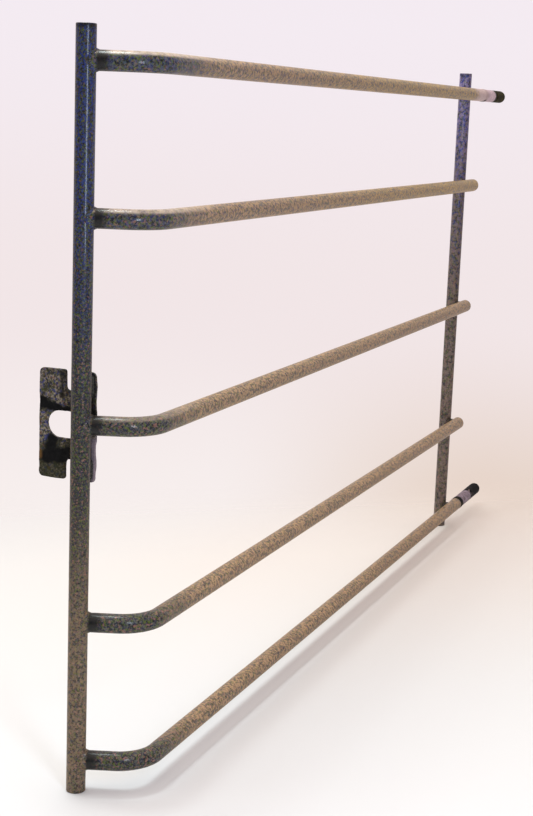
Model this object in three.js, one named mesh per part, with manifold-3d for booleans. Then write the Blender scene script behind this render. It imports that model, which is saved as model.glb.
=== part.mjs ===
// Livestock panel gate: two upright tubes and five bent rails, lapped and welded.
// Units are millimetres and +Z is up. The origin is the foot of the near upright, on its axis.
// The near upright stands on the Z axis. The rails leave it towards -Y, bend and run along +X,
// and the far upright stands behind them, on their +Y side.

import * as THREE from 'three';
import { mergeVertices } from 'three/addons/utils/BufferGeometryUtils.js';
import Module from 'manifold-3d';

const wasm = await Module();
wasm.setup();

// Overall layout
const HEIGHT = 1300;
const SPAN = 2040; // near upright axis to far upright axis, along X
const RAIL_STANDOFF = 109; // near upright axis to the axis of a rail's long run, along Y
const OUTER_RAIL_INSET = 57; // top and bottom rail axes from the ends of the uprights
const OUTER_BAY = 250; // top rail to upper rail, and lower rail to bottom rail
const CORNER_X = 40; // where a rail's leg would meet its long run if the bend were sharp
const BEND_RADIUS = 70;
const SHORT_OVERHANG = 20; // far upright axis to the tip of a plain rail end
const LONG_OVERHANG = 280; // far upright axis to the tip of a spigot's cap

// Tube, and the clearance left between pieces that touch or are welded
const TUBE_OD = 33.7;
const TUBE_WALL = 2.6;
const GAP = 0.3;
const TUBE_RADIUS = TUBE_OD / 2;
const PLUG_RADIUS = TUBE_RADIUS - TUBE_WALL - GAP;

// Plugs that close the tubes
const DISC_THICKNESS = 4;
const DISC_CHAMFER = 1.2;
const PLUG_DEPTH = 25;
const DOME_LENGTH = 4;

// Spigot at the far end of the top and bottom rails
const COATED_OVERHANG = 50; // far upright axis to the end of the rail tube
const RING_WIDTH = 22;
const RING_PROUD = 0.7;
const BARE_LENGTH = 92; // visible bare steel between the ring and the cap
const SPIGOT_DEPTH = 60; // spigot shank inside the rail tube
const PIN_RADIUS = 10; // turned-down pin inside the cap
const PIN_LENGTH = 88;

// Keeper plate behind the near upright, at the middle rail
const PLATE_CENTRE_Z = 643;
const PLATE_HEIGHT = 190;
const PLATE_WIDTH = 110;
const PLATE_CENTRE_Y = 36;
const PLATE_THICKNESS = 8;
const PLATE_CORNER = 9;
const WEB_HEIGHT = 118;
const NOTCH_WIDTH = 16;
const NOTCH_Y = 31; // centre of the notches above and below the web
const SLOT_HEIGHT = 46;
const SLOT_WIDTH = 64;
const SLOT_Y = 42;
const DISH_MARGIN = 14; // dished band around the slot, on the upright's side
const DISH_DEPTH = 2.5;

// Welds
const WELD_LEG = 5.5;
const LAP_WELD_RADIUS = 14;
const PLATE_WELD_LENGTH = 40;
const PLATE_WELD_RADIUS = 5.5;
const PLATE_WELD_Y = 11.5;
const PLATE_WELD_FROM_CENTRE = 71;

// Smoothness of the faceted shapes
const TUBE_SIDES = 20;
const BEND_STEPS = 7;
const ARC_STEPS = 5;

// Derived places
const MIDDLE_Z = HEIGHT / 2;
const RAIL_Y = -RAIL_STANDOFF;
const FAR_Y = RAIL_Y + TUBE_OD + GAP;
const TUBE_BOTTOM = DISC_THICKNESS + GAP;
const TUBE_TOP = HEIGHT - DISC_THICKNESS - GAP;
const PLATE_FRONT_X = TUBE_RADIUS + GAP;
const LEG_ANGLE = Math.atan2(-RAIL_STANDOFF, CORNER_X);
const RAILS = [
  { name: 'top', z: HEIGHT - OUTER_RAIL_INSET, spigot: true },
  { name: 'upper', z: HEIGHT - OUTER_RAIL_INSET - OUTER_BAY, spigot: false },
  { name: 'middle', z: MIDDLE_Z, spigot: false },
  { name: 'lower', z: OUTER_RAIL_INSET + OUTER_BAY, spigot: false },
  { name: 'bottom', z: OUTER_RAIL_INSET, spigot: true },
];

const PAINTED_STEEL = { color: 0x4a4c55, roughness: 0.42, metalness: 0.35 };
const WELD_STEEL = { color: 0x2c2d31, roughness: 0.6, metalness: 0.35 };
const FORGED_STEEL = { color: 0x2b2b2a, roughness: 0.7, metalness: 0.4 };
const BARE_STEEL = { color: 0xb7b2b4, roughness: 0.35, metalness: 0.9 };
const BLACK_RUBBER = { color: 0x161617, roughness: 0.7, metalness: 0 };

const panel = new THREE.Group();

function addMesh(name, geometry, finish) {
  const mesh = new THREE.Mesh(geometry, new THREE.MeshStandardMaterial(finish));
  mesh.name = name;
  panel.add(mesh);
  return mesh;
}

// Booleans

function toSolid(geometry) {
  const bare = geometry.clone();
  bare.deleteAttribute('normal');
  bare.deleteAttribute('uv');
  const merged = mergeVertices(bare, 1e-3);
  return new wasm.Manifold(
    new wasm.Mesh({
      numProp: 3,
      vertProperties: new Float32Array(merged.attributes.position.array),
      triVerts: new Uint32Array(merged.index.array),
    }),
  );
}

function toGeometry(solid) {
  const mesh = solid.getMesh();
  const geometry = new THREE.BufferGeometry();
  geometry.setAttribute('position', new THREE.BufferAttribute(mesh.vertProperties, 3));
  geometry.setIndex(new THREE.BufferAttribute(mesh.triVerts, 1));
  geometry.computeVertexNormals();
  return geometry;
}

function largestBody(solid) {
  return solid.decompose().reduce((best, body) => (body.volume() > best.volume() ? body : best));
}

// Round bars

function uprightBar(radius, bottom, top) {
  const bar = new THREE.CylinderGeometry(radius, radius, top - bottom, TUBE_SIDES);
  bar.rotateX(Math.PI / 2);
  bar.translate(0, 0, (bottom + top) / 2);
  return bar;
}

// A bar from the near upright's axis, level at height z, along the direction of a rail's leg.
function legBar(radius, length, z) {
  const bar = new THREE.CylinderGeometry(radius, radius, length, TUBE_SIDES);
  bar.rotateZ(-Math.PI / 2);
  bar.translate(length / 2, 0, 0);
  bar.rotateZ(LEG_ANGLE);
  bar.translate(0, 0, z);
  return bar;
}

// A turned piece: outline points are [distance along the axis, radius], and the axis becomes +X.
function turnedAlongX(outline) {
  const profile = outline.map(([along, radius]) => new THREE.Vector2(radius, along));
  const piece = new THREE.LatheGeometry(profile, TUBE_SIDES);
  piece.rotateZ(-Math.PI / 2);
  return piece;
}

function turnedAlongZ(outline) {
  const piece = turnedAlongX(outline);
  piece.rotateY(-Math.PI / 2);
  return piece;
}

// Points of a dome from its rim to just short of its tip, and then the tip on the axis.
function domeOutline(start, radius, length) {
  const points = [];
  for (let step = 1; step < ARC_STEPS; step += 1) {
    const angle = (step / ARC_STEPS) * (Math.PI / 2);
    points.push([start + length * Math.sin(angle), radius * Math.cos(angle)]);
  }
  points.push([start + length, 0]);
  return points;
}

// Uprights

function uprightTube() {
  const bore = TUBE_RADIUS - TUBE_WALL;
  return turnedAlongZ([
    [TUBE_BOTTOM, bore],
    [TUBE_BOTTOM, TUBE_RADIUS],
    [TUBE_TOP, TUBE_RADIUS],
    [TUBE_TOP, bore],
    [TUBE_BOTTOM, bore],
  ]);
}

// A plug with a flat disc as wide as the tube. It is drawn closing the tube's lower end.
function discPlug() {
  return turnedAlongZ([
    [0, 0],
    [0, TUBE_RADIUS - DISC_CHAMFER],
    [DISC_CHAMFER, TUBE_RADIUS],
    [DISC_THICKNESS, TUBE_RADIUS],
    [DISC_THICKNESS, PLUG_RADIUS],
    [PLUG_DEPTH, PLUG_RADIUS],
    [PLUG_DEPTH, 0],
  ]);
}

function addUpright(name, x, y) {
  const tube = addMesh(`${name}_upright`, uprightTube(), PAINTED_STEEL);
  tube.position.set(x, y, 0);
  const foot = addMesh(`${name}_foot_plug`, discPlug(), PAINTED_STEEL);
  foot.position.set(x, y, 0);
  const top = addMesh(`${name}_top_plug`, discPlug(), PAINTED_STEEL);
  top.rotation.x = Math.PI;
  top.position.set(x, y, HEIGHT);
}

// Rails

// Centre line of a rail: a straight leg, one bend and a straight run. Its points are unevenly
// spaced, so each straight takes one step and the bend takes BEND_STEPS.
class RailLine extends THREE.Curve {
  constructor(endX, z) {
    super();
    const tangentLength = BEND_RADIUS * Math.tan(-LEG_ANGLE / 2);
    const legDirection = new THREE.Vector3(Math.cos(LEG_ANGLE), Math.sin(LEG_ANGLE), 0);
    const runDirection = new THREE.Vector3(1, 0, 0);
    const corner = new THREE.Vector3(CORNER_X, RAIL_Y, z);
    const centre = new THREE.Vector3(CORNER_X + tangentLength, RAIL_Y + BEND_RADIUS, z);
    this.points = [new THREE.Vector3(0, 0, z)];
    this.tangents = [legDirection];
    for (let step = 0; step <= BEND_STEPS; step += 1) {
      const heading = LEG_ANGLE * (1 - step / BEND_STEPS);
      const outward = new THREE.Vector3(Math.sin(heading), -Math.cos(heading), 0);
      this.points.push(centre.clone().addScaledVector(outward, BEND_RADIUS));
      this.tangents.push(new THREE.Vector3(Math.cos(heading), Math.sin(heading), 0));
    }
    this.points.push(new THREE.Vector3(endX, corner.y, z));
    this.tangents.push(runDirection);
  }

  get steps() {
    return this.points.length - 1;
  }

  getUtoTmapping(u) {
    return u;
  }

  getPoint(t, target = new THREE.Vector3()) {
    const place = t * this.steps;
    const index = Math.min(Math.floor(place), this.steps - 1);
    return target.lerpVectors(this.points[index], this.points[index + 1], place - index);
  }

  getTangent(t, target = new THREE.Vector3()) {
    return target.copy(this.tangents[Math.round(t * this.steps)]);
  }
}

function tubeSection() {
  const section = new THREE.Shape();
  section.absarc(0, 0, TUBE_RADIUS, 0, Math.PI * 2);
  const bore = new THREE.Path();
  bore.absarc(0, 0, TUBE_RADIUS - TUBE_WALL, 0, Math.PI * 2);
  section.holes.push(bore);
  return section;
}

// The leg's end is coped to the near upright.
function railTube(endX, z) {
  const line = new RailLine(endX, z);
  const tube = new THREE.ExtrudeGeometry(tubeSection(), {
    curveSegments: TUBE_SIDES / 2,
    steps: line.steps,
    extrudePath: line,
    bevelEnabled: false,
  });
  const cope = uprightBar(TUBE_RADIUS + GAP, z - TUBE_OD, z + TUBE_OD);
  return toGeometry(toSolid(tube).subtract(toSolid(cope)));
}

function domedPlug() {
  return turnedAlongX([
    [-PLUG_DEPTH, 0],
    [-PLUG_DEPTH, PLUG_RADIUS],
    [0, PLUG_RADIUS],
    [0, TUBE_RADIUS],
    ...domeOutline(0, TUBE_RADIUS, DOME_LENGTH),
  ]);
}

// Spigot, drawn with the end of the rail tube at x = 0.
const RING_START = GAP;
const BARE_START = RING_START + RING_WIDTH + GAP;
const BARE_END = BARE_START + BARE_LENGTH;
const CAP_START = BARE_END + GAP;
const CAP_END = LONG_OVERHANG - COATED_OVERHANG;

function spigotBar() {
  return turnedAlongX([
    [-SPIGOT_DEPTH, 0],
    [-SPIGOT_DEPTH, PLUG_RADIUS],
    [BARE_START, PLUG_RADIUS],
    [BARE_START, TUBE_RADIUS],
    [BARE_END, TUBE_RADIUS],
    [BARE_END, PIN_RADIUS],
    [BARE_END + PIN_LENGTH, PIN_RADIUS],
    [BARE_END + PIN_LENGTH, 0],
  ]);
}

function spigotRing() {
  const bore = PLUG_RADIUS + GAP;
  const outer = TUBE_RADIUS + RING_PROUD;
  return turnedAlongX([
    [RING_START, bore],
    [RING_START, TUBE_RADIUS],
    [RING_START + RING_PROUD, outer],
    [RING_START + RING_WIDTH - RING_PROUD, outer],
    [RING_START + RING_WIDTH, TUBE_RADIUS],
    [RING_START + RING_WIDTH, bore],
    [RING_START, bore],
  ]);
}

function spigotCap() {
  const bore = PIN_RADIUS + GAP;
  const boreEnd = BARE_END + PIN_LENGTH + GAP;
  return turnedAlongX([
    [boreEnd, 0],
    [boreEnd, bore],
    [CAP_START, bore],
    [CAP_START, TUBE_RADIUS],
    [CAP_END - TUBE_RADIUS, TUBE_RADIUS],
    ...domeOutline(CAP_END - TUBE_RADIUS, TUBE_RADIUS, TUBE_RADIUS),
  ]);
}

// Everything behind the keeper plate's front face, for length up and down from height z.
function behindPlateFront(z, length) {
  const space = new THREE.BoxGeometry(TUBE_OD, TUBE_OD * 3, length * 2);
  space.translate(PLATE_FRONT_X - GAP + TUBE_OD / 2, 0, z);
  return toSolid(space);
}

// Weld round the end of a rail's leg, in the corner between the leg and the near upright. The
// middle rail's weld stops at the keeper plate.
function legWeld(z) {
  const reach = TUBE_RADIUS + WELD_LEG;
  const aroundLeg = toSolid(legBar(reach, reach * 2, z));
  const aroundUpright = toSolid(uprightBar(reach, z - reach * 2, z + reach * 2));
  const leg = toSolid(legBar(TUBE_RADIUS + GAP, reach * 3, z));
  const upright = toSolid(uprightBar(TUBE_RADIUS + GAP, z - reach * 3, z + reach * 3));
  const weld = aroundLeg.intersect(aroundUpright).subtract(leg).subtract(upright);
  if (z !== MIDDLE_Z) {
    return toGeometry(weld);
  }
  return toGeometry(largestBody(weld.subtract(behindPlateFront(z, reach * 2))));
}

// Weld in the crevice where a rail's run crosses the far upright.
function lapWeld(z) {
  const across = FAR_Y - RAIL_Y;
  const blank = new THREE.CylinderGeometry(LAP_WELD_RADIUS, LAP_WELD_RADIUS, across, TUBE_SIDES);
  blank.translate(SPAN, (FAR_Y + RAIL_Y) / 2, z);
  const run = new THREE.CylinderGeometry(TUBE_RADIUS + GAP, TUBE_RADIUS + GAP, TUBE_OD * 2, TUBE_SIDES);
  run.rotateZ(Math.PI / 2);
  run.translate(SPAN, RAIL_Y, z);
  const upright = uprightBar(TUBE_RADIUS + GAP, z - TUBE_OD, z + TUBE_OD);
  upright.translate(SPAN, FAR_Y, 0);
  return toGeometry(toSolid(blank).subtract(toSolid(run)).subtract(toSolid(upright)));
}

function addRail({ name, z, spigot }) {
  const tubeEnd = SPAN + (spigot ? COATED_OVERHANG : SHORT_OVERHANG - DOME_LENGTH - GAP);
  addMesh(`${name}_rail`, railTube(tubeEnd, z), PAINTED_STEEL);
  addMesh(`${name}_rail_leg_weld`, legWeld(z), WELD_STEEL);
  addMesh(`${name}_rail_lap_weld`, lapWeld(z), WELD_STEEL);
  if (!spigot) {
    const plug = addMesh(`${name}_rail_end_plug`, domedPlug(), PAINTED_STEEL);
    plug.position.set(tubeEnd + GAP, RAIL_Y, z);
    return;
  }
  const end = new THREE.Vector3(tubeEnd, RAIL_Y, z);
  addMesh(`${name}_spigot`, spigotBar(), BARE_STEEL).position.copy(end);
  addMesh(`${name}_spigot_ring`, spigotRing(), BLACK_RUBBER).position.copy(end);
  addMesh(`${name}_spigot_cap`, spigotCap(), BLACK_RUBBER).position.copy(end);
}

// Keeper plate

// A rounded rectangle centred on (y, z). Its corners may be as round as half its smaller side.
function roundedRectangle(shape, y, z, width, height, corner) {
  const left = y - width / 2 + corner;
  const right = y + width / 2 - corner;
  const low = z - height / 2 + corner;
  const high = z + height / 2 - corner;
  shape.absarc(left, low, corner, Math.PI, Math.PI * 1.5);
  shape.absarc(right, low, corner, Math.PI * 1.5, Math.PI * 2);
  shape.absarc(right, high, corner, 0, Math.PI / 2);
  shape.absarc(left, high, corner, Math.PI / 2, Math.PI);
  shape.closePath();
  return shape;
}

// Extrudes an outline drawn in Y and Z, from startX over thickness along +X.
function slab(shape, startX, thickness) {
  const piece = new THREE.ExtrudeGeometry(shape, {
    curveSegments: ARC_STEPS,
    depth: thickness,
    bevelEnabled: false,
  });
  piece.rotateX(Math.PI / 2);
  piece.rotateZ(Math.PI / 2);
  piece.translate(startX, 0, 0);
  return piece;
}

function keeperPlate() {
  const outline = roundedRectangle(
    new THREE.Shape(), PLATE_CENTRE_Y, PLATE_CENTRE_Z, PLATE_WIDTH, PLATE_HEIGHT, PLATE_CORNER,
  );
  const slot = roundedRectangle(
    new THREE.Path(), SLOT_Y, PLATE_CENTRE_Z, SLOT_WIDTH, SLOT_HEIGHT, SLOT_HEIGHT / 2,
  );
  outline.holes.push(slot);
  let plate = toSolid(slab(outline, PLATE_FRONT_X, PLATE_THICKNESS));

  const notchLength = PLATE_HEIGHT - WEB_HEIGHT;
  for (const side of [-1, 1]) {
    const notch = roundedRectangle(
      new THREE.Shape(), NOTCH_Y, PLATE_CENTRE_Z + (side * PLATE_HEIGHT) / 2,
      NOTCH_WIDTH, notchLength, NOTCH_WIDTH / 2,
    );
    plate = plate.subtract(toSolid(slab(notch, PLATE_FRONT_X - GAP, PLATE_THICKNESS + GAP * 2)));
  }

  const dishHeight = SLOT_HEIGHT + DISH_MARGIN * 2;
  const dish = roundedRectangle(
    new THREE.Shape(), SLOT_Y, PLATE_CENTRE_Z, SLOT_WIDTH + DISH_MARGIN * 2, dishHeight, dishHeight / 2,
  );
  plate = plate.subtract(toSolid(slab(dish, PLATE_FRONT_X - GAP, DISH_DEPTH + GAP)));
  plate = plate.subtract(toSolid(legBar(TUBE_RADIUS + GAP, RAIL_STANDOFF, MIDDLE_Z)));
  return toGeometry(plate);
}

// An upright stitch of weld in the wedge between the near upright and the plate's front face.
function plateWeld(side, z) {
  const half = PLATE_WELD_LENGTH / 2;
  const bead = uprightBar(PLATE_WELD_RADIUS, z - half, z + half);
  bead.translate(PLATE_FRONT_X - 1, side * PLATE_WELD_Y, 0);
  const upright = uprightBar(TUBE_RADIUS + GAP, z - PLATE_WELD_LENGTH, z + PLATE_WELD_LENGTH);
  const behind = behindPlateFront(z, PLATE_WELD_LENGTH);
  return toGeometry(toSolid(bead).subtract(toSolid(upright)).subtract(behind));
}

function addKeeperPlate() {
  addMesh('keeper_plate', keeperPlate(), FORGED_STEEL);
  const levels = { upper: PLATE_WELD_FROM_CENTRE, lower: -PLATE_WELD_FROM_CENTRE };
  for (const [level, offset] of Object.entries(levels)) {
    for (const [hand, side] of [['inner', -1], ['outer', 1]]) {
      addMesh(`keeper_weld_${level}_${hand}`, plateWeld(side, PLATE_CENTRE_Z + offset), WELD_STEEL);
    }
  }
}

addUpright('near', 0, 0);
addUpright('far', SPAN, FAR_Y);
RAILS.forEach(addRail);
addKeeperPlate();

export default panel;
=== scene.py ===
"""Looks of the livestock panel gate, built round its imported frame. Everything is in metres."""
import math

import bmesh
import bpy
import numpy as np
from mathutils import Matrix, Vector, noise


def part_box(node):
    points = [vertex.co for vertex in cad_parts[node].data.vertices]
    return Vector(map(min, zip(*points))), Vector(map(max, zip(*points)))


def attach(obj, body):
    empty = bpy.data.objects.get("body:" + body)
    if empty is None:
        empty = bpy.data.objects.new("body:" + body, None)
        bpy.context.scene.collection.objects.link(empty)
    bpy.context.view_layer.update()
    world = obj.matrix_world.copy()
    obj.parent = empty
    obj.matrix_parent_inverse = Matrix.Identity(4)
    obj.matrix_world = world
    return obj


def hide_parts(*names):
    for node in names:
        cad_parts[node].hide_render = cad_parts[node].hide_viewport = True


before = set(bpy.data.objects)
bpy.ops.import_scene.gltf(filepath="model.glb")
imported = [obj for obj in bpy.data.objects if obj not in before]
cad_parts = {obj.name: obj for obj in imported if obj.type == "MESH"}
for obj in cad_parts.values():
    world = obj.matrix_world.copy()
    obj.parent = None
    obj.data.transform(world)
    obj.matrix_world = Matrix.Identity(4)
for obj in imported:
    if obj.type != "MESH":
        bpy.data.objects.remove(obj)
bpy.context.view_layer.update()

# ---------------------------------------------------------------- driving values

BODY = "root"
RAIL_NAMES = ["top", "upper", "middle", "lower", "bottom"]
SPIGOT_RAILS = ["top", "bottom"]

TUBE_WALL = 0.0026
BEND_RADIUS = 0.070
BEND_FLATTENING = 0.035
LEG_CORNER_X = 0.040
GAP = 0.0003
WELD_FIT = 0.0006
EDGE_ROUND = 0.0016
DOME_RIM = 0.0006
PIN_RADIUS = 0.010
SPIGOT_EDGE = 0.0008
TURNING_MARK = 0.00012
CAP_GROOVE = [(0.0060, 0.0), (0.0072, 0.0007), (0.0084, 0.0007), (0.0096, 0.0)]

SHARP_ANGLE = 38
SIDES = 64
UPRIGHT_RINGS = 28
LEG_RINGS = 6
BEND_RINGS = 22
RUN_RING_SPACING = 0.05
DOME_STEPS = 15
CAP_STEPS = 20
RING_STEPS = 18
LEG_WELD_STEPS = 180
LEG_WELD_RIPPLES = 30
LAP_WELD_STEPS = 120
LAP_WELD_RIPPLES = 18
PLATE_WELD_STEPS = 60

LEG_WELD_SIZE = 0.0046
LEG_WELD_THROAT = 0.0014
LEG_WELD_BITE = 0.0002
LAP_WELD_REACH = 0.0128
LAP_WELD_BITE = 0.0004
PLATE_WELD_REACH = 0.0128
RIPPLE = 0.0003

EAST = Vector((1, 0, 0))
NORTH = Vector((0, 1, 0))
UP = Vector((0, 0, 1))


def centre(node):
    low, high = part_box(node)
    return (low + high) / 2


NEAR = centre("near_upright")
FAR = centre("far_upright")
TUBE_RADIUS = (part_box("near_upright")[1].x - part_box("near_upright")[0].x) / 2
RUN_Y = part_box("top_rail")[0].y + TUBE_RADIUS
RAIL_Z = {name: centre(f"{name}_rail").z for name in RAIL_NAMES}
TUBE_END_X = {name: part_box(f"{name}_rail")[1].x for name in RAIL_NAMES}
CAP_START_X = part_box("top_spigot_cap")[0].x
GATE_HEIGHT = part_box("near_top_plug")[1].z
LEG_ANGLE = math.atan2(RUN_Y - NEAR.y, LEG_CORNER_X)
LEG_DIRECTION = Vector((math.cos(LEG_ANGLE), math.sin(LEG_ANGLE), 0))
LEG_SIDE = Vector((-LEG_DIRECTION.y, LEG_DIRECTION.x, 0))


# ---------------------------------------------------------------- mesh helpers


def sharpen(mesh):
    """Smooth faces, with every edge that folds more than SHARP_ANGLE degrees kept sharp."""
    work = bmesh.new()
    work.from_mesh(mesh)
    limit = math.radians(SHARP_ANGLE)
    for face in work.faces:
        face.smooth = True
    for edge in work.edges:
        edge.smooth = len(edge.link_faces) == 2 and edge.calc_face_angle(0.0) < limit
    work.to_mesh(mesh)
    work.free()


def face_outwards(mesh):
    work = bmesh.new()
    work.from_mesh(mesh)
    bmesh.ops.recalc_face_normals(work, faces=work.faces)
    work.to_mesh(mesh)
    work.free()


def new_object(name, vertices, faces):
    mesh = bpy.data.meshes.new(name)
    mesh.from_pydata([tuple(v) for v in vertices], [], faces)
    mesh.update()
    made = bpy.data.objects.new(name, mesh)
    bpy.context.scene.collection.objects.link(made)
    return made


def add_piece(name, vertices, faces, material, slot, stands_for):
    finish_piece(new_object(name, vertices, faces), material, stands_for)


def finish_piece(piece, material, stands_for):
    """Gives a mesh its surface and its place in the part. Stands_for lists its CAD nodes."""
    face_outwards(piece.data)
    sharpen(piece.data)
    piece.data.materials.clear()
    piece.data.materials.append(material)
    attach(piece, BODY)
    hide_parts(*stands_for)


def loop_of_rings(rings):
    """Vertices and faces of a closed band: each ring joins the next, and the last joins the first."""
    count = len(rings[0])
    vertices = [point for ring in rings for point in ring]
    faces = []
    for index in range(len(rings)):
        following = (index + 1) % len(rings)
        for step in range(count):
            turn = (step + 1) % count
            faces.append((
                index * count + step,
                index * count + turn,
                following * count + turn,
                following * count + step,
            ))
    return vertices, faces


def capped_rings(rings):
    """Vertices and faces of a solid of rings, closed at both ends by one face each."""
    vertices, faces = loop_of_rings(rings)
    count = len(rings[0])
    faces = faces[: (len(rings) - 1) * count]
    faces.append(tuple(reversed(range(count))))
    last = (len(rings) - 1) * count
    faces.append(tuple(range(last, last + count)))
    return vertices, faces


def circle(middle, across, up, radius):
    ring = []
    for step in range(SIDES):
        angle = 2 * math.pi * step / SIDES
        ring.append(middle + across * (radius * math.cos(angle)) + up * (radius * math.sin(angle)))
    return ring


def turned(outline, origin, axis, across):
    """A solid of revolution. The outline is a list of (distance along the axis, radius)."""
    up = axis.cross(across)
    rings = [circle(origin + axis * along, across, up, radius) for along, radius in outline]
    return capped_rings(rings)


def arc_points(along, radius, size, start, end, steps):
    """Points of a quarter round or part of one, for a turned outline. Angles are in degrees."""
    points = []
    for step in range(steps + 1):
        angle = math.radians(start + (end - start) * step / steps)
        points.append((along + size * math.cos(angle), radius + size * math.sin(angle)))
    return points


# ---------------------------------------------------------------- materials


class Nodes:
    """Short way to build a material's node tree."""

    def __init__(self, name):
        self.material = bpy.data.materials.new(name)
        self.material.use_nodes = True
        self.tree = self.material.node_tree
        self.shader = self.tree.nodes["Principled BSDF"]
        coordinates = self.tree.nodes.new("ShaderNodeTexCoord")
        self.place = coordinates.outputs["Object"]

    def link(self, source, target):
        self.tree.links.new(source, target)

    def set(self, socket, value):
        self.shader.inputs[socket].default_value = value

    def noise(self, scale, detail=3.0, roughness=0.5, stretch=None):
        node = self.tree.nodes.new("ShaderNodeTexNoise")
        node.inputs["Scale"].default_value = scale
        node.inputs["Detail"].default_value = detail
        node.inputs["Roughness"].default_value = roughness
        source = self.place
        if stretch:
            mapping = self.tree.nodes.new("ShaderNodeMapping")
            mapping.inputs["Scale"].default_value = stretch
            self.link(source, mapping.inputs["Vector"])
            source = mapping.outputs["Vector"]
        self.link(source, node.inputs["Vector"])
        return node.outputs["Fac"]

    def cells(self, scale):
        node = self.tree.nodes.new("ShaderNodeTexVoronoi")
        node.inputs["Scale"].default_value = scale
        self.link(self.place, node.inputs["Vector"])
        return node.outputs["Distance"]

    def ramp(self, source, *stops):
        """Each stop is (position, grey) or (position, colour)."""
        node = self.tree.nodes.new("ShaderNodeValToRGB")
        elements = node.color_ramp.elements
        while len(elements) < len(stops):
            elements.new(0.5)
        for element, (position, value) in zip(elements, stops):
            element.position = position
            rgb = value if isinstance(value, tuple) else (value, value, value)
            element.color = (*rgb, 1.0)
        self.link(source, node.inputs["Fac"])
        return node.outputs["Color"]

    def mix(self, factor, first, second):
        """Each of the three is a socket, a number or a colour."""
        node = self.tree.nodes.new("ShaderNodeMix")
        node.data_type = "RGBA"
        for socket, value in ((0, factor), (6, first), (7, second)):
            if isinstance(value, (int, float)):
                node.inputs[socket].default_value = value
            elif isinstance(value, tuple):
                node.inputs[socket].default_value = (*value, 1.0)
            else:
                self.link(value, node.inputs[socket])
        return node.outputs[2]

    def math(self, operation, first, second=None, clamp=False):
        node = self.tree.nodes.new("ShaderNodeMath")
        node.operation = operation
        node.use_clamp = clamp
        for index, value in enumerate((first, second)):
            if value is None:
                continue
            if isinstance(value, (int, float)):
                node.inputs[index].default_value = value
            else:
                self.link(value, node.inputs[index])
        return node.outputs[0]

    def between(self, source, low, high):
        """0 up to low and 1 past high, smooth in between. Low may be the greater of the two."""
        node = self.tree.nodes.new("ShaderNodeMapRange")
        node.interpolation_type = "SMOOTHSTEP"
        node.inputs["From Min"].default_value = low
        node.inputs["From Max"].default_value = high
        self.link(source, node.inputs["Value"])
        return node.outputs["Result"]

    def axis(self, index):
        node = self.tree.nodes.new("ShaderNodeSeparateXYZ")
        self.link(self.place, node.inputs[0])
        return node.outputs[index]

    def along_leg(self):
        """Distance from the near upright's axis, measured along the rails' legs."""
        node = self.tree.nodes.new("ShaderNodeVectorMath")
        node.operation = "DOT_PRODUCT"
        node.inputs[1].default_value = LEG_DIRECTION
        self.link(self.place, node.inputs[0])
        return node.outputs["Value"]

    def flecks(self, scale, threshold, share):
        """Scattered spots: their size goes by scale, their number by the threshold."""
        return self.ramp(self.noise(scale, 3.0, 0.65), (threshold, 0.0), (threshold + 0.09, share))

    def wobble(self, scale, size):
        """A noise round zero, to make an edge ragged."""
        return self.math("MULTIPLY", self.math("SUBTRACT", self.noise(scale, 3.0, 0.6), 0.5), size)

    def attribute(self, name):
        node = self.tree.nodes.new("ShaderNodeAttribute")
        node.attribute_name = name
        return node.outputs["Fac"]

    def facing_up(self):
        geometry = self.tree.nodes.new("ShaderNodeNewGeometry")
        node = self.tree.nodes.new("ShaderNodeSeparateXYZ")
        self.link(geometry.outputs["Normal"], node.inputs[0])
        return node.outputs[2]

    def bump(self, height, distance, strength=1.0, normal=None):
        node = self.tree.nodes.new("ShaderNodeBump")
        node.inputs["Distance"].default_value = distance
        node.inputs["Strength"].default_value = strength
        self.link(height, node.inputs["Height"])
        if normal:
            self.link(normal, node.inputs["Normal"])
        return node.outputs["Normal"]

    def done(self, colour, roughness=None, normal=None, metallic=None):
        self.link(colour, self.shader.inputs["Base Color"])
        if roughness is not None:
            self.link(roughness, self.shader.inputs["Roughness"])
        if normal is not None:
            self.link(normal, self.shader.inputs["Normal"])
        if metallic is not None:
            self.link(metallic, self.shader.inputs["Metallic"])
        return self.material


# Colours of paint, dust, steel, plate and rubber.
PAINT_DARK = (0.002, 0.003, 0.004)
PAINT_LIGHT = (0.110, 0.104, 0.080)
PAINT_BLACK = (0.003, 0.003, 0.003)
FLECK_BLUE = (0.014, 0.034, 0.200)
FLECK_OLIVE = (0.085, 0.110, 0.012)
FLECK_BROWN = (0.260, 0.120, 0.085)
WELD_SCALE = (0.050, 0.048, 0.040)
# Dust colour: real dust low down, and on the rails' runs also painted glancing light.
DUST_AND_GLANCING_LIGHT = (0.49, 0.31, 0.165)
HIGH_FAR_DUST_AND_REFLECTION = (0.60, 0.395, 0.135)
TOP_DUST_AND_HIGHLIGHT = (0.80, 0.62, 0.46)
WORN_STEEL = (0.52, 0.40, 0.40)
RUST = (0.10, 0.030, 0.014)
YELLOW_RUST = (0.16, 0.10, 0.02)
FORGE_DARK = (0.014, 0.014, 0.014)
FORGE_PALE = (0.285, 0.238, 0.175)
FORGE_OLIVE = (0.080, 0.090, 0.018)
FORGE_RUSTY = (0.150, 0.060, 0.035)
FORGE_BLUE = (0.030, 0.040, 0.170)
FORGE_GRIME = (0.012, 0.014, 0.006)
FORGE_LOW = (0.020, 0.022, 0.006)
FORGE_SHADE_BLACK = (0.002, 0.002, 0.002)
FORGE_PALER_LOW = ((0.12, 0.09, 0.12), (0.36, 0.28, 0.30))
BLACK_RUBBER = (0.003, 0.003, 0.004)
OLIVE_RUBBER = (0.017, 0.014, 0.001)
OLIVE_STAIN = (0.045, 0.042, 0.010)
PALE_OLIVE_STAIN = (0.085, 0.075, 0.014)
GREY_STAIN = (0.020, 0.018, 0.020)

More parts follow.
